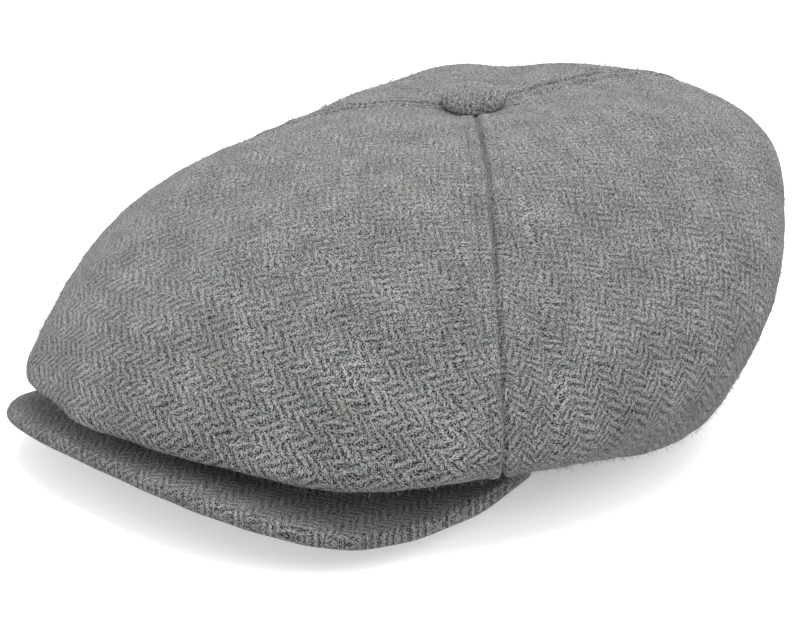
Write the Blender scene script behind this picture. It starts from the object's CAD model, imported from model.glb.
# %% [markdown]
# # A newsboy cap in brushed herringbone wool
# The cap is a soft object: three crown panels, a short stiff brim, a headband, a lining and a covered
# button. The CAD frame holds the true size and place of each of them, and this script gives each its
# cloth. First the frame is loaded, and its box is kept to compare with at the end.

# %% Load the frame
import math

import bmesh
import bpy
import numpy as np
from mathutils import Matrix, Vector


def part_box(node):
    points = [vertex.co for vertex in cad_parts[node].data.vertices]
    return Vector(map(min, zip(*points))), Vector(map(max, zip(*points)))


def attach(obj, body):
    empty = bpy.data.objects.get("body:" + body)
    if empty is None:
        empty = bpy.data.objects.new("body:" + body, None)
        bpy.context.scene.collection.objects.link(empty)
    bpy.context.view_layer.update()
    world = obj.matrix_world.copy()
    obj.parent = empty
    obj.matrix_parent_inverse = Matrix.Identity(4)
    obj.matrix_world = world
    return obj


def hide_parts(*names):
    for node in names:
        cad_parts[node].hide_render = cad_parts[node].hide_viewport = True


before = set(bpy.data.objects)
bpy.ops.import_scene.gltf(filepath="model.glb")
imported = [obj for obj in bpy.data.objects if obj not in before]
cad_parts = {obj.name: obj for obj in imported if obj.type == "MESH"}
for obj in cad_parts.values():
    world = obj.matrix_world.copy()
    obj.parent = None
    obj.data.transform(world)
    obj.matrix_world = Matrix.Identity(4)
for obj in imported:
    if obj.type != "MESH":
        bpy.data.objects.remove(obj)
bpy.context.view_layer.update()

# %% [markdown]
# ## Places read from the frame
# The button's axis is the pole of the crown: every seam and every profile starts there. The headband is
# an ellipse, and the crown is sewn to its upper edge. Both are read from the boxes of their CAD nodes.

# %% Places from the frame
button_low, button_high = (np.array(corner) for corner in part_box("button_cover"))
band_low, band_high = (np.array(corner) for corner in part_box("outer_band"))
pole = (button_low + button_high) / 2
head_half_width = (band_high[0] - band_low[0]) / 2
head_half_length = (band_high[1] - band_low[1]) / 2
head_centre_y = (band_high[1] + band_low[1]) / 2
print("pole", pole[:2], "headband", head_half_width, head_half_length, "centre", head_centre_y)

# %% [markdown]
# ## The crown's form
# Seen from above, the crown's widest line is a slightly squared oval. Seen in any upright plane through
# the button, its profile runs from the button out to that line, folds under and climbs back to the
# headband. The fold lies low in front, where the cloth rests on the brim, and high behind. One formula
# gives all profiles, so neighbouring panels meet exactly at their seams.

# %% Sizes of the crown
cloth_thickness = 0.0016
layer_gap = 0.00015
attach_height, attach_rise = 0.016, 0.0145
crown_front_reach, crown_back_reach, crown_side_reach = 0.1472, 0.1459, 0.1262
crown_offset = 0.0016
crown_squareness = 2.25
fold_height, fold_fore_drop, fold_side_drop = 0.0573, 0.0375, 0.0143
fold_spread_front, fold_spread_back = 0.003, 0.009
crown_height = 0.1217
dimple_depth, dimple_radius = 0.0035, 0.016
shank_hole_radius = 0.003
UPPER_STEPS, TUCK_STEPS = 72, 46
front_seam = math.radians(50.6)
side_power, top_power = 0.79, 1.44
tuck_side_power, tuck_down_power = 0.73, 1.35


# %% Outlines seen from above
HALVINGS = 40


def crown_outline(x, y):
    along = y - head_centre_y + crown_offset
    reach = np.where(along < 0, crown_front_reach, crown_back_reach)
    return (np.abs(x / crown_side_reach) ** crown_squareness
            + np.abs(along / reach) ** crown_squareness) ** (1 / crown_squareness)


def band_outline(x, y):
    return np.hypot(x / (head_half_width - cloth_thickness),
                    (y - head_centre_y) / (head_half_length - cloth_thickness))


def reach_from_pole(azimuth, outline):
    """Distance from the button's axis to an outline along each azimuth, found by halving."""
    near = np.zeros_like(azimuth)
    far = np.full_like(azimuth, 2 * crown_front_reach)
    for _ in range(HALVINGS):
        middle = (near + far) / 2
        inside = outline(np.sin(azimuth) * middle, pole[1] - np.cos(azimuth) * middle) < 1
        near = np.where(inside, middle, near)
        far = np.where(inside, far, middle)
    return near


# %% [markdown]
# A profile is first two plain power curves that meet at the fold. Each point then becomes a weighted
# mean of its neighbours, which rounds the fold as thick cloth does, and the result is divided again into
# even steps, so that every quad of the mesh is about the same size.

# %% Profiles
def sharp_profiles(azimuth, depth):
    """Reach and height of the unrounded profiles, one row per azimuth, from the button to the band."""
    reach = reach_from_pole(azimuth, crown_outline)
    x, y = np.sin(azimuth) * reach, pole[1] - np.cos(azimuth) * reach
    from_front = np.arctan2(x, -(y - head_centre_y + crown_offset))
    fold = (fold_height - (fold_fore_drop - depth / 2) * np.cos(from_front)
            + fold_side_drop * np.cos(2 * from_front))[:, None]
    band = reach_from_pole(azimuth, band_outline)
    band_y = pole[1] - np.cos(azimuth) * band
    seam = attach_height - attach_rise * (band_y - head_centre_y) / head_half_length + layer_gap + depth
    seam = seam[:, None]
    top = crown_height - depth
    fold_reach = (reach - depth)[:, None]
    start = np.arcsin((shank_hole_radius / fold_reach) ** (1 / side_power))
    up = start + (np.pi / 2 - start) * np.linspace(0, 1, UPPER_STEPS + 1)[None, :-1]
    down = np.linspace(0, np.pi / 2, TUCK_STEPS)[None, :]
    upper = np.stack([fold_reach * np.sin(up) ** side_power,
                      fold + (top - fold) * np.cos(up) ** top_power], -1)
    band = band[:, None]
    lower = np.stack([band + (fold_reach - band) * np.abs(np.cos(down)) ** tuck_side_power,
                      fold - (fold - seam) * np.sin(down) ** tuck_down_power], -1)
    return np.concatenate([upper, lower], 1)


def arc_lengths(rows):
    step = np.linalg.norm(np.diff(rows, axis=1), axis=2)
    return np.concatenate([np.zeros((len(rows), 1)), np.cumsum(step, 1)], 1)


def rounded_profiles(azimuth, depth, count):
    """Points of the profiles, with a soft fold and a dimple round the button, at even distances."""
    sharp = sharp_profiles(azimuth, depth)
    along = arc_lengths(sharp)
    spread = fold_spread_back + (fold_spread_front - fold_spread_back) * (1 + np.cos(azimuth)) / 2
    local = np.minimum(spread[:, None], np.minimum(along, along[:, -1:] - along) / 3)
    local = np.maximum(local, 1e-5)[:, :, None]
    share = np.gradient(along, axis=1)[:, None, :]
    weight = share * np.exp(-((along[:, None, :] - along[:, :, None]) / local) ** 2 / 2)
    rounded = np.einsum("aij,ajk->aik", weight / weight.sum(2, keepdims=True), sharp)
    rounded[:, 0], rounded[:, -1] = sharp[:, 0], sharp[:, -1]
    points = np.empty((len(azimuth), count, 3))
    across, back = np.sin(azimuth), np.cos(azimuth)
    for row, (profile, distance) in enumerate(zip(rounded, arc_lengths(rounded))):
        wanted = np.linspace(0, distance[-1], count)
        reach = np.interp(wanted, distance, profile[:, 0])
        height = np.interp(wanted, distance, profile[:, 1])
        height = height - dimple_depth * np.exp(-(reach / dimple_radius) ** 2)
        points[row] = np.stack([across[row] * reach, pole[1] - back[row] * reach, height], -1)
    return points


plain_form = rounded_profiles(np.linspace(-math.pi, math.pi, 73), 0.0, 150).reshape(-1, 3)
print("crown reaches", plain_form.min(0), plain_form.max(0))

# %% [markdown]
# ## Relief of sewn cloth
# Three things shape the cloth over the plain form. At each seam the two panels dive into a narrow
# groove, their allowances are pressed open below and raise a low ridge on both sides, and the topstitching
# pinches a second, shallower groove at the ridge's edge. Between the seams the cloth swells a little. At
# the headband the fullness is eased in, which leaves small puckers.

# %% Relief
SETTLED = (
    # where the soft crown has sunk or swollen: x, y, z, lift, spread
    (-0.066, -0.010, 0.106, -0.0042, 0.034),
    (-0.060, 0.076, 0.113, 0.0024, 0.020),
    (-0.047, 0.102, 0.114, -0.0024, 0.020),
    (-0.004, 0.133, 0.112, 0.0016, 0.026),
    (0.007, 0.020, 0.118, -0.0020, 0.012),
    (-0.082, -0.113, 0.045, -0.0026, 0.024),
    (0.104, 0.030, 0.019, 0.0048, 0.036),
    (-0.104, 0.030, 0.019, 0.0042, 0.036),
)
seam_azimuths = (-front_seam, front_seam, math.pi)
SWELL_WAVELENGTHS = (0.061, 0.047, 0.085, 0.038, 0.052)
RIPPLE_WAVELENGTHS = (0.017, 0.013, 0.021, 0.011, 0.015)
swell_height, ripple_height = 0.0009, 0.00018
topstitch_offset = 0.0055
ridge_height, ridge_past_stitches, ridge_fade = 0.0007, 0.0008, 0.0007
seam_groove_depth, seam_groove_width = 0.0022, 0.0010
stitch_groove_depth, stitch_groove_width = 0.0006, 0.0008
pucker_height, pucker_pitch, pucker_width = 0.00022, 0.0135, 0.009
valley_depth, valley_width, valley_start = 0.0010, 0.024, 0.03
easing_height, easing_start = 0.0006, 0.8
button_calm, band_calm = 0.012, 0.03


def wave_sum(points, wavelengths, seed):
    """A smooth uneven field from a few plane waves in fixed random directions, about -1 to 1."""
    chance = np.random.default_rng(seed)
    total = np.zeros(points.shape[:-1])
    for wavelength in wavelengths:
        direction = chance.normal(size=3)
        direction /= np.linalg.norm(direction)
        total += np.sin(points @ direction * 2 * math.pi / wavelength + chance.uniform(0, 2 * math.pi))
    return total / math.sqrt(len(wavelengths))


def seam_distance(azimuth, reach, seam):
    """Distance from a seam's upright plane, large on the far side of the button."""
    beside = np.abs(reach * np.sin(azimuth - seam))
    return np.where(np.cos(azimuth - seam) > 0, beside, 1.0)


def relief(azimuth, points, share):
    """How far the cloth stands out from the plain form at each point."""
    reach = np.hypot(points[..., 0], points[..., 1] - pole[1])
    lift = swell_height * wave_sum(points, SWELL_WAVELENGTHS, 4)
    lift += ripple_height * wave_sum(points, RIPPLE_WAVELENGTHS, 9)
    for x, y, z, height, spread in SETTLED:
        away = np.linalg.norm(points - np.array([x, y, z]), axis=-1)
        lift += height * np.exp(-(away / spread) ** 2)
    for index, seam in enumerate(seam_azimuths):
        beside = seam_distance(azimuth, reach, seam)
        past_ridge = (beside - topstitch_offset - ridge_past_stitches) / ridge_fade
        lift += ridge_height / (1 + np.exp(np.minimum(past_ridge, 50)))
        lift -= seam_groove_depth * np.exp(-(beside / seam_groove_width) ** 2)
        lift -= stitch_groove_depth * np.exp(-((beside - topstitch_offset) / stitch_groove_width) ** 2)
        pucker = np.sin(reach * 2 * math.pi / pucker_pitch + 2 * np.sin(reach * 90 + index))
        lift += pucker_height * pucker * np.exp(-(beside / pucker_width) ** 2)
        valley = np.exp(-(beside / valley_width) ** 2) * np.clip(reach / valley_start, 0, 1)
        lift -= valley_depth * valley
    tuck = np.clip((share - easing_start) / (1 - easing_start), 0, 1)
    easing = np.sin(azimuth * 46 + 1.5 * np.sin(azimuth * 7)) + 0.6 * np.sin(azimuth * 71 + 1)
    lift += easing_height * tuck ** 1.5 * (1 - tuck ** 6) * easing
    near_button = np.clip((reach - shank_hole_radius) / button_calm, 0, 1)
    near_band = np.clip((1 - share) / band_calm, 0, 1)
    return lift * near_button * near_band


# %% [markdown]
# ## Panels as closed sheets of cloth
# Each panel is a grid of columns, which run from the button to the headband, and rows. Columns crowd
# together beside the seams, where the relief is narrow. The outer face is the plain form moved along its
# normals by the relief, the inner face lies one cloth thickness below, and strips close the edges, so the
# panel is a real sheet with two sides. The same function makes the felt and the satin under the wool.

# %% Panel grids
seam_margin = 0.05
azimuth_nudge = 1e-3


def column_azimuths(first, last, coarse, fine):
    """Azimuths between two seams, closer together near both."""
    span = last - first
    dense = np.linspace(0, seam_margin, fine)
    middle = np.linspace(seam_margin, 1 - seam_margin, coarse)[1:-1]
    return first + span * np.concatenate([dense, middle, 1 - dense[::-1]])


def panel_grid(azimuths, depth, rows):
    """Points of a layer at a depth under the wool's face, with their shares of the profile's length."""
    points = rounded_profiles(azimuths, 0.0, rows)
    after = rounded_profiles(azimuths + azimuth_nudge, 0.0, rows)
    before = rounded_profiles(azimuths - azimuth_nudge, 0.0, rows)
    normal = np.cross(np.gradient(points, axis=1), after - before)
    normal /= np.linalg.norm(normal, axis=2, keepdims=True)
    share = np.broadcast_to(np.linspace(0, 1, rows), points.shape[:2])
    lift = relief(azimuths[:, None], points, share)
    # A deeper layer follows the plain profile of its own depth, which is shorter, with the same relief.
    if depth:
        points = rounded_profiles(azimuths, depth, rows)
    return points + normal * lift[..., None]


def grid_faces(columns, rows, start=0, flip=False):
    index = start + np.arange(columns * rows).reshape(columns, rows)
    quads = np.stack([index[:-1, :-1], index[:-1, 1:], index[1:, 1:], index[1:, :-1]], -1).reshape(-1, 4)
    return quads[:, ::-1] if flip else quads


def edge_faces(columns, rows):
    """Quads that join the outer grid's border to the inner grid's."""
    index = np.arange(columns * rows).reshape(columns, rows)
    border = np.concatenate([index[:-1, 0], index[-1, :-1], index[:0:-1, -1], index[0, :0:-1]])
    after = np.roll(border, -1)
    inner = columns * rows
    return np.stack([border, after, after + inner, border + inner], -1)


def new_mesh_object(name, points, faces, flat=None, sharp=40):
    """A smooth-shaded mesh object at the origin, with an optional flat pattern as its UV map."""
    mesh = bpy.data.meshes.new(name)
    mesh.from_pydata(points.reshape(-1, 3).tolist(), [], faces.tolist())
    if flat is not None:
        corner = np.empty(len(mesh.loops), int)
        mesh.loops.foreach_get("vertex_index", corner)
        layer = mesh.uv_layers.new(name="cloth")
        layer.data.foreach_set("uv", flat.reshape(-1, 2)[corner].astype(np.float32).ravel())
    mesh.polygons.foreach_set("use_smooth", np.ones(len(mesh.polygons), bool))
    mesh.set_sharp_from_angle(angle=math.radians(sharp))
    piece = bpy.data.objects.new(name, mesh)
    bpy.context.scene.collection.objects.link(piece)
    return piece


def closed_sheet(name, outer, inner, flat):
    """A sheet with an outer and an inner face of the same grid, closed all round."""
    columns, rows = outer.shape[:2]
    faces = np.concatenate([grid_faces(columns, rows), grid_faces(columns, rows, columns * rows, True),
                            edge_faces(columns, rows)])
    return new_mesh_object(name, np.concatenate([outer.reshape(-1, 3), inner.reshape(-1, 3)]), faces,
                           np.concatenate([flat.reshape(-1, 2)] * 2))


# %% [markdown]
# ## The flat pattern of a panel
# A weave runs straight along the cloth, and the cloth was cut flat. So each panel is laid flat as a
# tailor's paper pattern would be: the grid's edges and diagonals are springs of their true lengths, and
# the pattern relaxes until it is stretched as little as possible. It stays in metres, so the weave has its
# real scale. A coarse copy of the grid is relaxed, and the fine grid is read from it by interpolation.

# %% Flat patterns
PATTERN_COLUMNS, PATTERN_ROWS = 30, 34


def relaxed(points, flat, rounds=80):
    """Moves the flat points until the distances between neighbours are as on the curved grid."""
    index = np.arange(points.shape[0] * points.shape[1]).reshape(points.shape[:2])
    pairs = np.concatenate([np.stack([a.ravel(), b.ravel()], 1) for a, b in (
        (index[:-1], index[1:]), (index[:, :-1], index[:, 1:]),
        (index[:-1, :-1], index[1:, 1:]), (index[1:, :-1], index[:-1, 1:]))])
    here, there = pairs.T
    points, flat = points.reshape(-1, 3), flat.reshape(-1, 2)
    length = np.linalg.norm(points[here] - points[there], axis=1)
    stiffness = length ** -2
    springs = np.zeros((len(points), len(points)))
    np.add.at(springs, (here, there), -stiffness)
    springs += springs.T
    springs -= np.diag(springs.sum(1))
    springs[0, 0] += stiffness.mean()
    answer = np.linalg.inv(springs)
    for _ in range(rounds):
        step = flat[here] - flat[there]
        step *= (stiffness * length / np.linalg.norm(step, axis=1))[:, None]
        pull = np.zeros_like(flat)
        np.add.at(pull, here, step)
        np.add.at(pull, there, -step)
        flat = answer @ pull
    return flat.reshape(*index.shape, 2)


def spread_between(values, places, count):
    """Interpolates along the first axis from some places to all of them."""
    flat = values.reshape(len(places), -1)
    every = [np.interp(np.arange(count), places, column) for column in flat.T]
    return np.stack(every, 1).reshape(count, *values.shape[1:])


def laid_flat(points, azimuths, band_azimuth):
    """The panel's pattern in metres, its second axis along the weave's bands."""
    columns, rows = points.shape[:2]
    some_columns = np.unique(np.linspace(0, columns - 1, PATTERN_COLUMNS).round().astype(int))
    some_rows = np.unique(np.linspace(0, rows - 1, PATTERN_ROWS).round().astype(int))
    coarse = points[some_columns][:, some_rows]
    along = arc_lengths(coarse) + shank_hole_radius
    turn = azimuths[some_columns, None] - band_azimuth
    pattern = relaxed(coarse, np.stack([np.sin(turn) * along, np.cos(turn) * along], -1))
    # The relaxed pattern is turned back so that the panel's middle column runs where it did at first.
    middle = len(some_columns) // 2
    before = turn[middle, 0]
    run = pattern[middle, len(some_rows) // 2] - pattern[middle, 0]
    angle = math.atan2(run[0], run[1]) - before
    turned = np.array([[math.cos(angle), math.sin(angle)], [-math.sin(angle), math.cos(angle)]])
    pattern = (pattern - pattern[middle, 0]) @ turned
    flat = spread_between(pattern, some_columns, columns)
    return spread_between(flat.swapaxes(0, 1), some_rows, rows).swapaxes(0, 1)


# %% [markdown]
# ## Wool, felt and satin panels
# The crown has one front panel and two side panels, joined at the button. On the front panel the bands
# run from side to side, and on each side panel they run outwards along the panel's middle.

# %% Sew the crown
PANELS = (
    # name, first seam, last seam, direction of the herringbone's bands
    ("front", -front_seam, front_seam, math.radians(90)),
    ("left", front_seam, math.pi, math.radians(117)),
    ("right", math.pi, 2 * math.pi - front_seam, math.radians(243)),
)
SIDES = ("front", "left", "right")
LAYERS = (
    # piece, CAD node, material slot, depth, thickness, columns between and beside the seams, rows
    ("wool_{}_panel", "crown_{}_panel", "wool", 0.0, cloth_thickness, 130, 30, 132),
    ("felt_{}_panel", "interlining_{}_panel", "interlining", 0.00175, 0.001, 36, 8, 56),
    ("satin_{}_panel", "lining_{}_panel", "lining", 0.0029, 0.0005, 60, 12, 80),
)


def put_on(piece, node):
    """The piece stands for the node, rides on the cap's only body and takes its finish from the slot."""
    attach(piece, "root")
    if node:
        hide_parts(node)
    return piece


crown = {}
outer_grids = {}
for piece_name, node_name, slot, depth, thickness, coarse, fine, rows in LAYERS:
    for side, first, last, band_azimuth in PANELS:
        azimuths = column_azimuths(first, last, coarse, fine)
        outer = panel_grid(azimuths, depth, rows)
        inner = panel_grid(azimuths, depth + thickness, rows)
        flat = laid_flat(outer, azimuths, band_azimuth)
        name = piece_name.format(side)
        crown[name] = put_on(closed_sheet(name, outer, inner, flat), node_name.format(side))
        outer_grids[name] = (azimuths, outer)
        width, length = (np.ptp(flat, axis=(0, 1)) * 1000).round()
        print(name, len(crown[name].data.polygons), "faces, cut", width, "x", length, "mm")

# %% [markdown]
# ## The brim
# The brim is a stiff board between two cloth covers, which are sewn together along the edge and turned.
# From above its front is a flattened oval, its ends run back along the headband, and its edge droops from
# the front to the ends. Each section is a straight line from the headband to the edge, and each cover
# turns round the board's edge down to the seam in the middle.

# %% Brim sizes and sections
brim_reach, brim_half_width, brim_widest, brim_tail_length = 0.151, 0.098, 0.075, 0.113
brim_edge_front, brim_edge_end = 0.020, 0.001
brim_squareness, brim_arch_power = 0.73, 2.3
brim_end, brim_inner_end = math.radians(116), math.radians(74.5)
board_thickness = 0.0023
arch_half_width, arch_rise = 0.083, 0.0237
arch_radius = (arch_half_width ** 2 + arch_rise ** 2) / (2 * arch_rise)
half_brim = cloth_thickness + layer_gap + board_thickness / 2
brim_end_lift, lift_before_end, lift_past_end = 0.0085, math.radians(20), math.radians(32)
edge_seam_gap, board_start = 0.00005, 0.02
brim_swell, brim_puff = 0.00035, 0.0002
BRIM_WAVELENGTHS = (0.034, 0.023, 0.045, 0.017)
BRIM_COLUMNS, BRIM_ROWS, EDGE_ROWS = 240, 40, 9
BY_SHARE = -9.0  # stands in a row for "no distance from the edge: the share says where it lies"


def arch_height(x):
    return arch_rise - arch_radius + np.sqrt(arch_radius ** 2 - x ** 2)


def side_lift(band_turn):
    """How far the lower edge rises beside the brim's ends, by the angle round the headband."""
    beyond = np.abs(band_turn) - brim_inner_end
    return brim_end_lift * np.exp(-(beyond / np.where(beyond < 0, lift_before_end, lift_past_end)) ** 2)


def brim_feet(turn):
    """Inner and outer foot of the brim's underside along its parameter, 0 in front."""
    side, fore = np.sin(turn), np.cos(turn)
    across = np.where(fore >= 0, np.sign(side) * np.abs(side) ** brim_squareness, side)
    along = np.where(fore >= 0, -(brim_reach - brim_widest) * np.abs(fore) ** brim_squareness,
                     -brim_tail_length * fore)
    edge_turn = turn * (math.pi / 2) / (brim_end + math.radians(4))
    edge_height = brim_edge_end + (brim_edge_front - brim_edge_end) * np.cos(edge_turn) ** brim_arch_power
    outer = np.stack([brim_half_width * across, along - brim_widest + head_centre_y, edge_height], -1)
    band_turn = turn * brim_inner_end / brim_end
    outer[..., 2] += side_lift(band_turn)
    x, y = np.sin(band_turn), -np.cos(band_turn)
    reach = 1 / np.hypot(x / head_half_width, y / head_half_length) + layer_gap
    height = np.maximum(arch_height(reach * x) + 2 * layer_gap, brim_edge_end) + side_lift(band_turn)
    return np.stack([reach * x, reach * y + head_centre_y, height], -1), outer


def brim_surface(inset_and_height):
    """A grid over the brim from rows of (share from headband to edge, distance from the edge, height)."""
    inner, outer = brim_feet(np.linspace(-brim_end, brim_end, BRIM_COLUMNS))
    width = np.hypot(*(outer - inner)[:, :2].T)[:, None, None]
    share, inset, height = (column[None, :, None] for column in inset_and_height.T)
    inset = np.where(inset == BY_SHARE, (1 - share) * (width - half_brim) + half_brim, inset)
    points = outer[:, None] - (outer - inner)[:, None] * inset / width
    return points + np.array([0, 0, 1]) * (half_brim + height)


def brim_rows(thickness_in, sign):
    """Rows of one cover's face: flat to near the edge, then round to the seam in the middle."""
    radius = half_brim - thickness_in
    flat = [(share, BY_SHARE, sign * radius) for share in np.linspace(0, 1, BRIM_ROWS)]
    turns = np.linspace(0, math.pi / 2, EDGE_ROWS + 1)[1:]
    around = [(1.0, half_brim - radius * math.sin(turn), sign * max(radius * math.cos(turn), edge_seam_gap))
              for turn in turns]
    return np.array(flat + around)


def brim_cover(name, node, sign):
    outer, inner = brim_surface(brim_rows(0.0, sign)), brim_surface(brim_rows(cloth_thickness, sign))
    share = np.linspace(0, 1, outer.shape[1])[None, :]
    swell = brim_swell * wave_sum(outer, BRIM_WAVELENGTHS, 21) * np.sin(share * math.pi) ** 0.5
    outer[..., 2] += sign * (swell + brim_puff * np.sin(share * math.pi))
    # The pattern lies as seen from above, carried on round the edge by its true length.
    away = outer[:, BRIM_ROWS - 1, :2] - outer[:, BRIM_ROWS - 2, :2]
    away /= np.linalg.norm(away, axis=1, keepdims=True)
    flat = outer[..., :2].copy()
    along = arc_lengths(outer)[:, BRIM_ROWS - 1:]
    past = along - along[:, :1]
    flat[:, BRIM_ROWS - 1:] = flat[:, BRIM_ROWS - 1:BRIM_ROWS] + away[:, None] * past[..., None]
    if sign < 0:
        outer, inner, flat = outer[::-1], inner[::-1], flat[::-1]
    piece = put_on(closed_sheet(name, outer, inner, flat), node)
    print(name, len(piece.data.polygons), "faces")
    return piece, outer


def board():
    """The board between the covers, square-edged and a little short of both seams."""
    shares = np.linspace(board_start, 1, BRIM_ROWS // 2)
    half = board_thickness / 2
    upper = brim_surface(np.array([(share, BY_SHARE, half) for share in shares]))
    lower = brim_surface(np.array([(share, BY_SHARE, -half) for share in shares]))
    piece = closed_sheet("brim_stiffener", upper, lower, upper[..., :2].copy())
    return put_on(piece, "brim_board")


# %% Cover the brim
brim_stiffener = board()
brim_top, brim_top_points = brim_cover("brim_upper_cloth", "brim_top_cover", 1)
brim_under, _ = brim_cover("brim_lower_cloth", "brim_bottom_cover", -1)

# %% [markdown]
# ## Headband and sweatband
# The headband is one strip of the wool, cut low in front where it arches over the brim. Inside it a
# cotton sweatband of even height follows the same lower edge. Both are rings over an ellipse, and a rolled
# lower edge gives each the thickness of a fold of cloth.

# %% Bands
BAND_COLUMNS, HEADBAND_ROWS, SWEATBAND_ROWS, TAPE_ROWS = 360, 14, 24, 8
roll_share, hem_share = 0.03, 0.05
tape_thickness, sweatband_thickness, sweatband_height = 0.0008, 0.001, 0.032


def band_ring(name, node, inset, thickness, upper_edge, rows, ripple=0.0, raised=0.0):
    """A closed ring of cloth between the arched lower edge and an upper edge."""
    turn = np.linspace(0, 2 * math.pi, BAND_COLUMNS + 1)[:-1, None]
    rise = np.concatenate([np.linspace(0, 1, rows), np.linspace(1, 0, rows)])[None, :]
    inside = (np.arange(2 * rows) >= rows)[None, :]
    roll = 0.5 * thickness * np.exp(-(rise / roll_share) ** 2)
    offset = inset + np.where(inside, thickness - roll, roll)
    between_hems = (rise > hem_share) & (rise < 1 - hem_share)
    offset = offset + np.where(between_hems, ripple * np.sin(9 * turn + 4 * np.sin(3 * turn)), 0)
    x = (head_half_width - offset) * np.sin(turn)
    y = (head_half_length - offset) * np.cos(turn)
    arch = np.maximum(arch_height(np.clip(x, -arch_half_width, arch_half_width)), 0)
    lower = np.where((y < 0) & (np.abs(x) < arch_half_width), arch, 0)
    lower = lower + side_lift(np.arctan2(x, -y)) + raised
    height = lower + (upper_edge(y, lower) - lower) * rise
    points = np.stack([x, y + head_centre_y, height], -1)
    along = np.broadcast_to(turn * (head_half_width + head_half_length) / 2, height.shape)
    flat = np.stack([height, along], -1)
    index = np.arange(points.shape[0] * points.shape[1]).reshape(points.shape[:2])
    faces = np.stack([index, np.roll(index, -1, 1), np.roll(np.roll(index, -1, 1), -1, 0),
                      np.roll(index, -1, 0)], -1).reshape(-1, 4)
    piece = put_on(new_mesh_object(name, points, faces, flat), node)
    print(name, len(faces), "faces")
    return piece, points


def crown_seam_height(y, lower):
    return attach_height - attach_rise * y / head_half_length


def even_height(y, lower):
    return lower + sweatband_height


headband, _ = band_ring("headband_cloth", "outer_band", 0.0, cloth_thickness,
                        crown_seam_height, HEADBAND_ROWS)
sweat_inset = cloth_thickness + tape_thickness + 2 * layer_gap
sweatband, sweatband_points = band_ring("cotton_sweatband", "sweatband", sweat_inset,
                                        sweatband_thickness, even_height, SWEATBAND_ROWS, ripple=0.00006)
tape, _ = band_ring("stiffening_tape", "band_tape", cloth_thickness + layer_gap, tape_thickness,
                    crown_seam_height, TAPE_ROWS, raised=0.001)

# %% [markdown]
# ## The covered button
# A disc of the same wool is gathered over a domed metal shell. The gathers make soft folds at the rim,
# and the cloth rolls under it. The rows of the mesh run from the top over the rim to the underside.

# %% Button
button_radius, button_dome = 0.0122, (button_high - button_low)[2]
cloth_sweep = math.radians(152)
under_sweep = cloth_sweep - math.pi / 2
gather_depth, oval_depth, fold_rise = 0.024, 0.0004, 0.0002
front_pull, pull_softness, button_lift = 0.15, 0.003, 0.0007
BUTTON_COLUMNS, BUTTON_ROWS = 128, 44


def gathered_button():
    turn = np.linspace(0, 2 * math.pi, BUTTON_COLUMNS + 1)[:-1, None]
    sweep = np.linspace(0, 1, BUTTON_ROWS)[None, :]
    climb = sweep * cloth_sweep
    rolled = np.clip((climb - math.pi / 2) / under_sweep, 0, 1)
    on_top = climb < math.pi / 2
    reach = button_radius * np.where(on_top, np.sin(climb) ** 0.9, 1 - 0.28 * rolled ** 1.4)
    height = button_dome * np.where(on_top, np.abs(np.cos(climb)) ** 0.8, -0.16 * np.sin(rolled * math.pi))
    folds = np.sin(11 * turn + 1.3 * np.sin(3 * turn)) + 0.5 * np.sin(19 * turn + 2)
    gather = np.clip((sweep - 0.25) / 0.35, 0, 1) ** 1.6
    reach = reach * (1 + gather_depth * gather * folds) + oval_depth * np.sin(2 * turn + 1) * gather
    points = np.stack([reach * np.sin(turn), -reach * np.cos(turn),
                       np.broadcast_to(height, reach.shape) + fold_rise * gather * folds], -1)
    points[:, 0, :2] = 0
    # The button is pulled down in front, where its thread is tightest.
    forward = points @ np.array([0.72, -0.69, 0])
    points[..., 2] -= front_pull * np.log1p(np.exp(forward / pull_softness)) * pull_softness
    return points + np.array([pole[0], pole[1], button_low[2] + button_lift])


button_points = gathered_button()
ring_index = np.arange(BUTTON_COLUMNS * BUTTON_ROWS).reshape(BUTTON_COLUMNS, BUTTON_ROWS)
following = np.roll(ring_index, -1, 0)
button_faces = np.stack([ring_index[:, :-1], ring_index[:, 1:], following[:, 1:], following[:, :-1]], -1)
flat_turn = np.linspace(0, 2 * math.pi, BUTTON_COLUMNS + 1)[:-1, None]
flat_reach = arc_lengths(button_points)
button_flat = np.stack([np.sin(flat_turn) * flat_reach, np.cos(flat_turn) * flat_reach], -1)
button = new_mesh_object("button_cloth", button_points, button_faces.reshape(-1, 4), button_flat, 180)
shape = bmesh.new()
shape.from_mesh(button.data)
bmesh.ops.remove_doubles(shape, verts=shape.verts, dist=1e-6)
bmesh.ops.holes_fill(shape, edges=[edge for edge in shape.edges if edge.is_boundary], sides=0)
shape.to_mesh(button.data)
shape.free()
put_on(button, "button_cover")
print("button_cloth", len(button.data.polygons), "faces")

# %% [markdown]
# ## Labels
# A woven label is sewn to the satin behind the button, and a small size tab to the sweatband at the back.
# Both are blank.

# %% Labels
LABEL_ROWS = slice(17, 31)
label_depth, label_thickness = 0.00355, 0.0004
label_azimuths = np.linspace(math.radians(160), math.radians(200), 48)
label_outer = panel_grid(label_azimuths, label_depth, 80)[:, LABEL_ROWS]
label_inner = panel_grid(label_azimuths, label_depth + label_thickness, 80)[:, LABEL_ROWS]
label_low, label_high = (np.array(corner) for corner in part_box("woven_label"))
woven_label = put_on(closed_sheet("blank_woven_label", label_outer, label_inner, label_outer[..., :2].copy()),
                     "woven_label")
print("label", np.ptp(label_outer, axis=(0, 1)).round(4), "CAD", (label_high - label_low).round(4))

# %% [markdown]
# ## Shader helpers
# Every cloth here is made of a few maths nodes, so a short helper adds a node, sets its values and links
# its inputs. What several materials share becomes a node group with named sockets.

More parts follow.
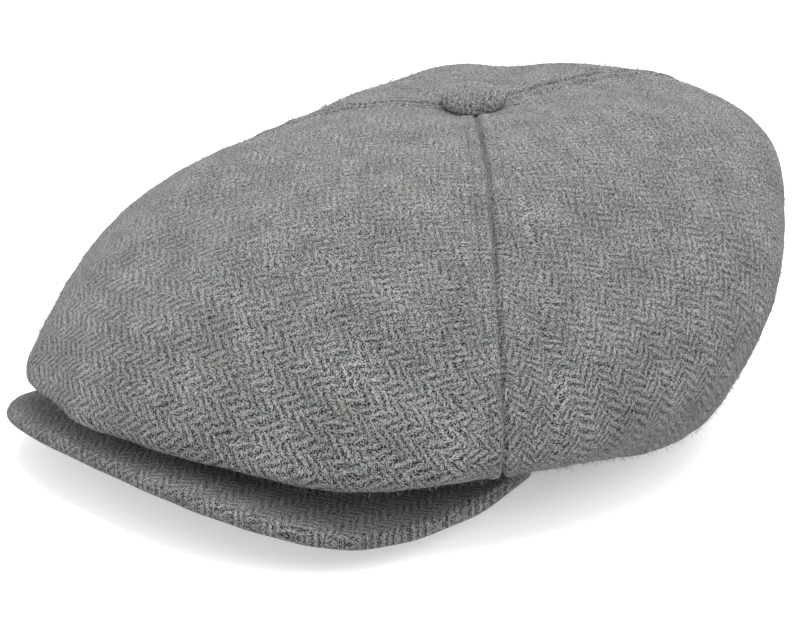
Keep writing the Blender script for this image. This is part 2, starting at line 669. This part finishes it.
# %% Node helpers
class Nodes:
    """Adds nodes to one tree: call it with a node type, its settings and its inputs."""

    def __init__(self, tree):
        self.tree = tree

    def __call__(self, kind, settings=None, **inputs):
        node = self.tree.nodes.new(kind)
        for key, value in (settings or {}).items():
            setattr(node, key, value)
        for key, value in inputs.items():
            socket = node.inputs[int(key[1:]) if key[1:].isdigit() else key.replace("_", " ")]
            if isinstance(value, bpy.types.NodeSocket):
                self.tree.links.new(value, socket)
            else:
                socket.default_value = value
        return node

    def math(self, operation, *values):
        return self("ShaderNodeMath", {"operation": operation},
                    **{f"i{place}": value for place, value in enumerate(values)}).outputs[0]

    def noise(self, vector, scale, detail=2.0, rough=0.5):
        node = self("ShaderNodeTexNoise", {"noise_dimensions": "3D"}, Vector=vector, Scale=scale,
                    Detail=detail, Roughness=rough)
        return node.outputs["Fac"]

    def ramp(self, value, low, high, to_low=0.0, to_high=1.0, smooth=True):
        """Maps low..high to to_low..to_high and holds the ends."""
        node = self("ShaderNodeMapRange", {"interpolation_type": "SMOOTHSTEP" if smooth else "LINEAR"},
                    Value=value, From_Min=low, From_Max=high, To_Min=to_low, To_Max=to_high)
        return node.outputs["Result"]

    def millimetres(self, vector):
        return self("ShaderNodeVectorMath", {"operation": "SCALE"}, Vector=vector, Scale=1000.0).outputs[0]

    def grey(self, tone):
        return self("ShaderNodeCombineColor", Red=tone, Green=tone, Blue=tone).outputs[0]

    def bump(self, height, strength, distance):
        return self("ShaderNodeBump", Strength=strength, Distance=distance, Height=height).outputs[0]

    def blend(self, factor, first, second, mode="MIX"):
        node = self.tree.nodes.new("ShaderNodeMix")
        node.data_type = "RGBA"
        node.blend_type = mode
        for place, value in ((0, factor), (6, first), (7, second)):
            if isinstance(value, bpy.types.NodeSocket):
                self.tree.links.new(value, node.inputs[place])
            else:
                node.inputs[place].default_value = value if place == 0 else (*value, 1.0)
        return node.outputs[2]


def new_group(name, inputs, outputs):
    """A shader node group with named sockets: returns its tree, helper, inputs and output node."""
    tree = bpy.data.node_groups.new(name, "ShaderNodeTree")
    for socket, kind, value in inputs:
        made = tree.interface.new_socket(socket, in_out="INPUT", socket_type=kind)
        if value is not None:
            made.default_value = value
    for socket, kind in outputs:
        tree.interface.new_socket(socket, in_out="OUTPUT", socket_type=kind)
    nodes = Nodes(tree)
    return tree, nodes, nodes("NodeGroupInput").outputs, nodes("NodeGroupOutput")


# %% [markdown]
# ## Herringbone
# A herringbone is a twill whose diagonal turns back at every band. A ping-pong of the distance across the
# bands, added to the distance along them, gives diagonals that turn back, and a half-step at each band
# breaks them as the real weave does. Brushing frays the diagonals, so noise bends them and softens their
# edges. The group puts out the pale strokes, the streaks of single fibres and the relief.

# %% Herringbone group
herringbone, g, given, out = new_group(
    "herringbone",
    [("Vector", "NodeSocketVector", None), ("Band Width", "NodeSocketFloat", 5.2),
     ("Repeat", "NodeSocketFloat", 3.5), ("Fray", "NodeSocketFloat", 1.0),
     ("Felting", "NodeSocketFloat", 0.3)],
    [("Strokes", "NodeSocketFloat"), ("Fibres", "NodeSocketFloat"), ("Height", "NodeSocketFloat")])
millimetres = g.millimetres(given["Vector"])
drift = g("ShaderNodeTexNoise", {"noise_dimensions": "2D"}, Vector=millimetres, Scale=0.22, Detail=3.0)
drift = g("ShaderNodeVectorMath", {"operation": "SUBTRACT"}, i0=drift.outputs["Color"], i1=(0.5, 0.5, 0.5))
drift = g("ShaderNodeVectorMath", {"operation": "SCALE"}, Vector=drift.outputs[0],
          Scale=g.math("MULTIPLY", given["Fray"], 2.2)).outputs[0]
worn = g("ShaderNodeVectorMath", {"operation": "ADD"}, i0=millimetres, i1=drift).outputs[0]
place = g("ShaderNodeSeparateXYZ", Vector=worn).outputs
zigzag = g.math("PINGPONG", place["X"], given["Band Width"])
band = g.math("FLOOR", g.math("DIVIDE", place["X"], given["Band Width"]))
diagonal = g.math("ADD", place["Y"], zigzag)
lengthwise = g.math("SUBTRACT", place["Y"], zigzag)
phase = g.math("ADD", g.math("DIVIDE", diagonal, given["Repeat"]), g.math("MULTIPLY", band, 0.5))
swing = g.math("SINE", g.math("MULTIPLY", phase, 2 * math.pi))
fibre_place = g("ShaderNodeCombineXYZ", X=g.math("MULTIPLY", diagonal, 1.5),
                Y=g.math("MULTIPLY", lengthwise, 0.7), Z=g.math("MULTIPLY", band, 7.3)).outputs[0]
fibres = g.math("SUBTRACT", g.noise(fibre_place, 1.0, 3.0, 0.7), 0.5)
grain = g.math("SUBTRACT", g.noise(millimetres, 2.0, 2.0, 0.8), 0.5)
patches = g.noise(millimetres, 0.13, 3.0, 0.6)
felting = g.math("MULTIPLY", given["Felting"], g.ramp(patches, 0.35, 0.65, 0.6, 1.4))
stroke_contrast, fibre_contrast, grain_contrast = 0.36, 3.2, 7.5
drawn = g.math("MULTIPLY", swing, g.math("MULTIPLY", g.math("SUBTRACT", 1.0, felting), stroke_contrast))
loose = g.math("ADD", g.math("MULTIPLY", fibres, fibre_contrast), g.math("MULTIPLY", grain, grain_contrast))
strokes = g.math("ADD", g.math("ADD", drawn, loose), 0.5)
strokes = g.ramp(strokes, 0.0, 1.0, smooth=False)
g.tree.links.new(strokes, out.inputs["Strokes"])
g.tree.links.new(g.math("ADD", fibres, 0.5), out.inputs["Fibres"])
g.tree.links.new(g.math("ADD", strokes, fibres), out.inputs["Height"])
print("herringbone group", len(herringbone.nodes), "nodes")


# %% [markdown]
# ## Wool
# The wool mixes near-black, grey and off-white fibres with a few teal and beige ones. The strokes choose
# between a dark and a pale mix, the fibres vary both, and soft patches of the coloured fibres lie over
# them. The crown's top is rubbed smoother than its sides, so the felting grows with height. A sheen on the
# shader lightens the nap where it is seen at a low angle.

# %% Wool material
TEAL, BEIGE = (0.105, 0.145, 0.155), (0.205, 0.185, 0.145)
felt_bottom, felt_top = 0.045, 0.115


def principled(name, roughness, sheen=0.0, sheen_roughness=0.5, specular=0.5, metallic=0.0):
    """A material with a Principled shader whose constant values are set on its own sockets."""
    material = bpy.data.materials.new(name)
    material.use_nodes = True
    shader = material.node_tree.nodes["Principled BSDF"]
    for socket, value in (("Roughness", roughness), ("Sheen Weight", sheen), ("Metallic", metallic),
                          ("Sheen Roughness", sheen_roughness), ("Specular IOR Level", specular)):
        shader.inputs[socket].default_value = value
    return material, Nodes(material.node_tree), shader


def wool(name, dark, pale, felt_low, felt_high, fray=1.0):
    material, n, shader = principled(name, 0.95, sheen=0.12, sheen_roughness=0.45, specular=0.1)
    cloth = n("ShaderNodeUVMap", {"uv_map": "cloth"}).outputs[0]
    body = n("ShaderNodeTexCoord").outputs["Object"]
    height = n("ShaderNodeSeparateXYZ", Vector=body).outputs["Z"]
    felting = n.ramp(height, felt_bottom, felt_top, felt_low, felt_high)
    weave = n("ShaderNodeGroup", {"node_tree": herringbone}, Vector=cloth, Fray=fray,
              Felting=felting).outputs
    metric = n.millimetres(cloth)
    base = n.blend(weave["Strokes"], dark, pale)
    fleck = n.noise(metric, 1.35, 2.0, 0.75)
    hue = n.noise(metric, 0.22, 4.0, 0.75)
    base = n.blend(n.ramp(hue, 0.53, 0.70, 0.0, 0.50), base, TEAL)
    base = n.blend(n.ramp(hue, 0.46, 0.30, 0.0, 0.45), base, BEIGE)
    fibres = n.ramp(weave["Fibres"], 0.30, 0.70, 0.80, 1.20, False)
    clouds = n.ramp(n.noise(metric, 0.06, 3.0, 0.6), 0.3, 0.7, 0.80, 1.20, False)
    strength = n.math("MULTIPLY", n.math("MULTIPLY", fibres, clouds), n.ramp(fleck, 0.60, 0.78, 1.0, 1.35))
    n.tree.links.new(n.blend(1.0, base, n.grey(strength), "MULTIPLY"), shader.inputs["Base Color"])
    n.tree.links.new(n.bump(weave["Height"], 0.55, 0.0005), shader.inputs["Normal"])
    return material


def cover(material, *pieces):
    for piece in pieces:
        piece.data.materials.clear()
        piece.data.materials.append(material)


crown_wool = wool("crown_wool", (0.004, 0.006, 0.006), (0.325, 0.327, 0.323), 0.0, 0.50)
brim_wool = wool("brim_wool", (0.006, 0.007, 0.007), (0.290, 0.290, 0.284), 0.0, 0.0)
cover(crown_wool, *(crown[f"wool_{side}_panel"] for side in SIDES), headband, button)
cover(brim_wool, brim_top, brim_under)

# %% [markdown]
# ## Woven and fine-grained finishes
# The satin lining, the cotton sweatband, the tape and the labels are plain weaves that differ in the
# count of threads, in gloss and in colour, so one function makes them all from crossed threads with some
# unevenness. Felt, board, brass and thread need only grain and wear.

# %% Other materials
def woven(name, colour, threads, roughness, sheen, contrast, specular=0.3):
    """A plain weave in the piece's flat pattern, with this many threads in a millimetre."""
    material, n, shader = principled(name, roughness, sheen=sheen, specular=specular)
    cloth = n("ShaderNodeUVMap", {"uv_map": "cloth"}).outputs[0]
    metric = n.millimetres(cloth)
    place = n("ShaderNodeSeparateXYZ", Vector=metric).outputs
    warp = n.math("SINE", n.math("MULTIPLY", place["X"], 2 * math.pi * threads))
    weft = n.math("SINE", n.math("MULTIPLY", place["Y"], 2 * math.pi * threads))
    weave = n.math("MULTIPLY", warp, weft)
    uneven = n.noise(metric, 0.25, 4.0, 0.6)
    tone = n.math("ADD", n.math("MULTIPLY", weave, contrast * 0.5),
                  n.ramp(uneven, 0.3, 0.7, 1 - contrast, 1 + contrast, False))
    n.tree.links.new(n.blend(1.0, colour, n.grey(tone), "MULTIPLY"), shader.inputs["Base Color"])
    gloss = n.ramp(uneven, 0.3, 0.7, roughness - 0.06, roughness + 0.06)
    n.tree.links.new(gloss, shader.inputs["Roughness"])
    n.tree.links.new(n.bump(n.math("ADD", weave, uneven), 0.5, 0.0001), shader.inputs["Normal"])
    return material


def grained(name, colour, grain_per_metre, roughness, contrast, metallic=0.0, specular=0.4):
    """A grained finish in the object's own space, for felt, board, metal and thread."""
    material, n, shader = principled(name, roughness, metallic=metallic, specular=specular)
    body = n("ShaderNodeTexCoord").outputs["Object"]
    fine = n.noise(body, grain_per_metre, 4.0, 0.7)
    wide = n.noise(body, grain_per_metre / 12, 3.0, 0.6)
    tone = n.math("MULTIPLY", n.ramp(fine, 0.3, 0.7, 1 - contrast, 1 + contrast, False),
                  n.ramp(wide, 0.3, 0.7, 1 - contrast / 2, 1 + contrast / 2, False))
    n.tree.links.new(n.blend(1.0, colour, n.grey(tone), "MULTIPLY"), shader.inputs["Base Color"])
    gloss = n.ramp(wide, 0.3, 0.7, roughness * 0.85, min(roughness * 1.15, 1.0))
    n.tree.links.new(gloss, shader.inputs["Roughness"])
    n.tree.links.new(n.bump(fine, 0.4, 0.0001), shader.inputs["Normal"])
    return material


satin = woven("satin", (0.035, 0.036, 0.040), 4.0, 0.34, 0.1, 0.16, 0.6)
cotton = woven("cotton", (0.022, 0.022, 0.024), 1.6, 0.85, 0.35, 0.30)
label_tape = woven("label_tape", (0.46, 0.45, 0.42), 3.0, 0.6, 0.2, 0.14)
buckram = woven("buckram", (0.62, 0.60, 0.54), 1.1, 0.9, 0.0, 0.25)
felt = grained("felt", (0.42, 0.41, 0.39), 2200, 0.95, 0.35)
brim_plastic = grained("brim_plastic", (0.10, 0.10, 0.105), 900, 0.55, 0.15)
brass = grained("brass", (0.62, 0.50, 0.30), 1500, 0.32, 0.15, metallic=1.0)
sewing_thread = grained("sewing_thread", (0.050, 0.052, 0.054), 5000, 0.6, 0.35)
pale_thread = grained("pale_thread", (0.62, 0.60, 0.52), 5000, 0.6, 0.25)
size_tab_tape = grained("size_tab_tape", (0.46, 0.45, 0.42), 3000, 0.6, 0.2)

for side in SIDES:
    cover(satin, crown[f"satin_{side}_panel"])
    cover(felt, crown[f"felt_{side}_panel"])
cover(cotton, sweatband)
cover(buckram, tape)
cover(label_tape, woven_label)
cover(brim_plastic, brim_stiffener)
cover(brass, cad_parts["button_shell"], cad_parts["button_back"])
cover(sewing_thread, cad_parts["button_thread"])
cover(size_tab_tape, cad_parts["size_label"])

# %% [markdown]
# ## Stitches
# Each crown seam is topstitched on both sides. A stitch row is a line of points on the cloth, so Geometry
# Nodes divide it at the stitch pitch and set one short sunken thread at each point, turned along the line,
# with a little chance in its length and angle. The same tree sews the sweatband and the label.

# %% Stitch tree
def new_tree(name, sockets):
    tree = bpy.data.node_groups.new(name, "GeometryNodeTree")
    tree.interface.new_socket("Geometry", in_out="INPUT", socket_type="NodeSocketGeometry")
    for socket, kind, value in sockets:
        made = tree.interface.new_socket(socket, in_out="INPUT", socket_type=kind)
        if value is not None:
            made.default_value = value
    tree.interface.new_socket("Geometry", in_out="OUTPUT", socket_type="NodeSocketGeometry")
    nodes = Nodes(tree)
    return tree, nodes, nodes("NodeGroupInput").outputs, nodes("NodeGroupOutput")


def end_tree(nodes, instances, given, out):
    """Realizes the instances and gives them the tree's material."""
    real = nodes("GeometryNodeRealizeInstances", Geometry=instances).outputs[0]
    finished = nodes("GeometryNodeSetMaterial", Geometry=real, Material=given["Material"]).outputs[0]
    nodes.tree.links.new(finished, out.inputs["Geometry"])


def run_tree(name, source, tree, slot, **values):
    """Runs a tree on an object, keeps the result as a plain mesh and removes the source."""
    modifier = source.modifiers.new("grow", "NODES")
    modifier.node_group = tree
    for item in tree.interface.items_tree:
        key = item.name.lower().replace(" ", "_")
        if item.in_out == "INPUT" and key in values:
            modifier[item.identifier] = values[key]
    evaluated = source.evaluated_get(bpy.context.evaluated_depsgraph_get())
    mesh = bpy.data.meshes.new_from_object(evaluated)
    mesh.name = name
    piece = bpy.data.objects.new(name, mesh)
    bpy.context.scene.collection.objects.link(piece)
    old = source.data
    bpy.data.objects.remove(source)
    bpy.data.meshes.remove(old)
    put_on(piece, None)
    print(name, len(mesh.polygons), "faces")
    return piece


stitch_tree, t, given, out = new_tree("stitch_row", [
    ("Pitch", "NodeSocketFloat", 0.003), ("Length", "NodeSocketFloat", 0.0022),
    ("Thickness", "NodeSocketFloat", 0.0005), ("Seed", "NodeSocketInt", 1),
    ("Material", "NodeSocketMaterial", None)])
line = t("GeometryNodeMeshToCurve", Mesh=given["Geometry"]).outputs[0]
line = t("GeometryNodeResampleCurve", {"mode": "LENGTH"}, Curve=line, Length=given["Pitch"]).outputs[0]
thread = t("GeometryNodeMeshUVSphere", Segments=6, Rings=5, Radius=0.5).outputs["Mesh"]
thread = t("GeometryNodeTransform", Geometry=thread, Rotation=(0, math.pi / 2, 0)).outputs[0]
thread_size = t("ShaderNodeCombineXYZ", X=given["Length"], Y=given["Thickness"], Z=given["Thickness"])
thread = t("GeometryNodeTransform", Geometry=thread, Scale=thread_size.outputs[0]).outputs[0]
along_line = t("FunctionNodeAlignRotationToVector", {"axis": "X"},
               Vector=t("GeometryNodeInputTangent").outputs[0]).outputs[0]
jitter = t("FunctionNodeRandomValue", {"data_type": "FLOAT_VECTOR"}, i0=(0, -0.05, -0.09),
           i1=(0, 0.05, 0.09), Seed=given["Seed"]).outputs[0]
turned_stitch = t("FunctionNodeRotateRotation", {"rotation_space": "LOCAL"}, i0=along_line, i1=t(
    "FunctionNodeEulerToRotation", Euler=jitter).outputs[0]).outputs[0]
uneven_size = t("FunctionNodeRandomValue", {"data_type": "FLOAT_VECTOR"}, i0=(0.85, 0.85, 0.85),
                i1=(1.1, 1.1, 1.1), Seed=given["Seed"]).outputs[0]
sewn = t("GeometryNodeInstanceOnPoints", Points=line, Instance=thread, Rotation=turned_stitch,
         Scale=uneven_size)
end_tree(t, sewn.outputs[0], given, out)


def row_object(lines):
    """A scratch object of separate edge paths."""
    points, edges = [], []
    for line in lines:
        edges += [(len(points) + i, len(points) + i + 1) for i in range(len(line) - 1)]
        points += [tuple(point) for point in line]
    mesh = bpy.data.meshes.new("scratch_rows")
    mesh.from_pydata(points, edges, [])
    rows = bpy.data.objects.new("scratch_rows", mesh)
    bpy.context.scene.collection.objects.link(rows)
    return rows


# %% Sew the topstitching
UNSEWN_AT_BUTTON, UNSEWN_AT_BAND = 14, 4
far_side, seam_neighbourhood = 9, 0.02
crown_core = np.array([0, head_centre_y, 0.045])


def row_beside(side, at_last, offset, sink):
    """A line on a wool panel at a distance from its first or last seam, a little under the face."""
    azimuths, outer = outer_grids[f"wool_{side}_panel"]
    seam = azimuths[-1] if at_last else azimuths[0]
    reach = np.hypot(outer[..., 0], outer[..., 1] - pole[1])
    path = []
    for row in range(UNSEWN_AT_BUTTON, outer.shape[1] - UNSEWN_AT_BAND):
        beside = np.abs(reach[:, row] * np.sin(azimuths - seam))
        near = np.cos(azimuths - seam) > 0.3
        order = np.argsort(np.where(near, beside, far_side))
        order = order[beside[order] < seam_neighbourhood]
        path.append([np.interp(offset, beside[order], outer[order, row, axis]) for axis in range(3)])
    path = np.array(path)
    inwards = crown_core - path
    return path + sink * inwards / np.linalg.norm(inwards, axis=1, keepdims=True)


crown_rows = [row_beside(side, at_last, topstitch_offset, 0.00012)
              for side in SIDES for at_last in (False, True)]
run_tree("crown_topstitching", row_object(crown_rows), stitch_tree, "thread",
         pitch=0.0031, length=0.0023, thickness=0.00052, seed=3, material=sewing_thread)

inner_face = sweatband_points[:, SWEATBAND_ROWS:]
sweat_rows = [np.concatenate([inner_face[:, row], inner_face[:1, row]]) for row in (21, 2)]
run_tree("sweatband_stitching", row_object(sweat_rows), stitch_tree, "thread",
         pitch=0.0034, length=0.0024, thickness=0.0005, seed=5, material=sewing_thread)
border = np.concatenate([label_inner[1:-1, 1], label_inner[-2, 1:-1], label_inner[-2:0:-1, -2],
                         label_inner[1, -2:0:-1]])
run_tree("label_stitching", row_object([border]), stitch_tree, "thread",
         pitch=0.0026, length=0.0018, thickness=0.0004, seed=7, material=sewing_thread)

# %% [markdown]
# ## Loose fibres
# Brushed wool is never smooth at its outline: single hairs stand off the nap. Geometry Nodes scatter short
# bent hairs over the outer faces, each a three-sided thread that leans over at its own angle.

# %% Fibre tree
fuzz_tree, t, given, out = new_tree("loose_fibres", [
    ("Density", "NodeSocketFloat", 100000.0), ("Length", "NodeSocketFloat", 0.0016),
    ("Thickness", "NodeSocketFloat", 0.00005), ("Seed", "NodeSocketInt", 1),
    ("Material", "NodeSocketMaterial", None)])
roots = t("GeometryNodeDistributePointsOnFaces", Mesh=given["Geometry"], Density=given["Density"],
          Seed=given["Seed"])
hair = t("GeometryNodeCurveQuadraticBezier", Resolution=2, Start=(0, 0, -0.1), Middle=(0.06, 0, 0.5),
         End=(0.42, 0.1, 0.9)).outputs[0]
ring = t("GeometryNodeCurvePrimitiveCircle", Resolution=3, Radius=t.math(
    "DIVIDE", given["Thickness"], given["Length"])).outputs[0]
hair = t("GeometryNodeCurveToMesh", Curve=hair, Profile_Curve=ring, Fill_Caps=True).outputs[0]
lean = t("FunctionNodeRandomValue", {"data_type": "FLOAT_VECTOR"}, i0=(-1.25, -1.25, -3.14),
         i1=(1.25, 1.25, 3.14), Seed=given["Seed"]).outputs[0]
hair_turn = t("FunctionNodeRotateRotation", {"rotation_space": "LOCAL"}, i0=roots.outputs["Rotation"], i1=t(
    "FunctionNodeEulerToRotation", Euler=lean).outputs[0]).outputs[0]
uneven_length = t("FunctionNodeRandomValue", {"data_type": "FLOAT"}, i2=0.45, i3=1.35,
                  Seed=given["Seed"]).outputs[1]
hair_size = t.math("MULTIPLY", uneven_length, given["Length"])
fuzz = t("GeometryNodeInstanceOnPoints", Points=roots.outputs["Points"], Instance=hair, Rotation=hair_turn,
         Scale=hair_size)
end_tree(t, fuzz.outputs[0], given, out)

# %% Grow the fibres
fibre_wool = grained("fibre_wool", (0.20, 0.20, 0.198), 900, 0.9, 0.75, specular=0.1)


def surface_object(grid):
    """A scratch object over every second point of a face, for the fibres to stand on."""
    coarse = grid[::2, ::2]
    return new_mesh_object("scratch_surface", coarse, grid_faces(*coarse.shape[:2]))


for side in SIDES:
    run_tree(f"fibres_{side}_panel", surface_object(outer_grids[f"wool_{side}_panel"][1]), fuzz_tree, "wool",
             density=150000.0, length=0.0020, thickness=0.00006, seed=11, material=fibre_wool)
run_tree("fibres_brim", surface_object(brim_top_points), fuzz_tree, "wool", density=200000.0, length=0.0019,
         thickness=0.00006, seed=12, material=fibre_wool)

# %% [markdown]
# One end of the seam's sewing thread was never trimmed: it stands out beside the front seam, near the
# bottom of the crown.

# %% Thread end
THREAD_PATH = ((0, 0, 0), (0.0006, -0.0006, 0.0014), (0.0009, -0.0008, 0.0034), (0.0016, -0.0006, 0.0050))
thread_radius, share_down_seam = 0.00016, 0.66
seam_line = row_beside("left", False, 0.0006, -0.0004)
start = seam_line[int(len(seam_line) * share_down_seam)]
thread_curve = bpy.data.curves.new("thread_end", "CURVE")
thread_curve.dimensions = "3D"
thread_curve.bevel_depth, thread_curve.bevel_resolution = thread_radius, 1
thread_curve.use_fill_caps = True
spline = thread_curve.splines.new("NURBS")
spline.points.add(len(THREAD_PATH) - 1)
for point, step in zip(spline.points, THREAD_PATH):
    point.co = (*(start + np.array(step)), 1)
spline.order_u, spline.use_endpoint_u = 3, True
holder = bpy.data.objects.new("scratch_thread", thread_curve)
bpy.context.scene.collection.objects.link(holder)
thread_mesh = bpy.data.meshes.new_from_object(holder.evaluated_get(bpy.context.evaluated_depsgraph_get()))
bpy.data.objects.remove(holder)
thread_end = bpy.data.objects.new("seam_thread_end", thread_mesh)
bpy.context.scene.collection.objects.link(thread_end)
cover(pale_thread, put_on(thread_end, None))
print("seam_thread_end", len(thread_mesh.polygons), "faces at", start.round(3))

# %% [markdown]
# ## Floor, light and camera
# A pale floor and a white surround light the cap softly from all sides. A large lamp overhead makes the
# top paler than the flanks, and the camera stands well back, so the perspective is flat.

# %% Stage
floor_half = 4
floor_mesh = bpy.data.meshes.new("floor")
corners = [(x * floor_half, y * floor_half, 0) for x, y in ((-1, -1), (1, -1), (1, 1), (-1, 1))]
floor_mesh.from_pydata(corners, [], [(0, 1, 2, 3)])
floor = bpy.data.objects.new("floor", floor_mesh)
bpy.context.scene.collection.objects.link(floor)
floor.visible_diffuse = False
floor_paint, _, floor_shader = principled("floor_paint", 0.9, specular=0.0)
floor_shader.inputs["Base Color"].default_value = (0.92, 0.92, 0.92, 1)
floor_shader.inputs["Emission Color"].default_value = (1, 1, 1, 1)
floor_shader.inputs["Emission Strength"].default_value = 0.38
floor_mesh.materials.append(floor_paint)

world = bpy.data.worlds.new("studio")
world.use_nodes = True
world.node_tree.nodes["Background"].inputs["Color"].default_value = (1, 1, 1, 1)
world.node_tree.nodes["Background"].inputs["Strength"].default_value = 1.0
bpy.context.scene.world = world

scene = bpy.context.scene
scene.view_settings.view_transform = "Standard"


def soft_lamp(name, position, size, power):
    """A round lamp that faces the cap, with its diameter in metres and its power in watts."""
    data = bpy.data.lights.new(name, "AREA")
    data.shape, data.size, data.energy = "DISK", size, power
    lamp = bpy.data.objects.new(name, data)
    lamp.location = position
    lamp.rotation_euler = (cap_middle - Vector(position)).to_track_quat("-Z", "Y").to_euler()
    scene.collection.objects.link(lamp)


cap_middle = Vector((0, 0, 0.05))
soft_lamp("overhead_lamp", (0.1, 0.3, 2.0), 2.2, 38)
soft_lamp("side_lamp", (1.6, -0.2, 1.3), 1.4, 9)
soft_lamp("front_lamp", (-1.4, -1.3, 0.9), 1.2, 8)

# %% Camera
view_azimuth, view_elevation, view_distance = math.radians(47.86), math.radians(18.9), 1.1
target = Vector((0, head_centre_y - 0.020, 0.050))
level = math.cos(view_elevation)
back = Vector((math.sin(view_azimuth) * level, -math.cos(view_azimuth) * level, math.sin(view_elevation)))
lens = bpy.data.cameras.new("camera")
lens.lens, lens.sensor_width = 133.45, 36
lens.shift_x, lens.shift_y = 0.0313, -0.0152
camera = bpy.data.objects.new("camera", lens)
camera.location = target + back * view_distance
camera.rotation_euler = (-back).to_track_quat("-Z", "Y").to_euler()
scene.collection.objects.link(camera)
scene.camera = camera
print("camera at", [round(value, 3) for value in camera.location])
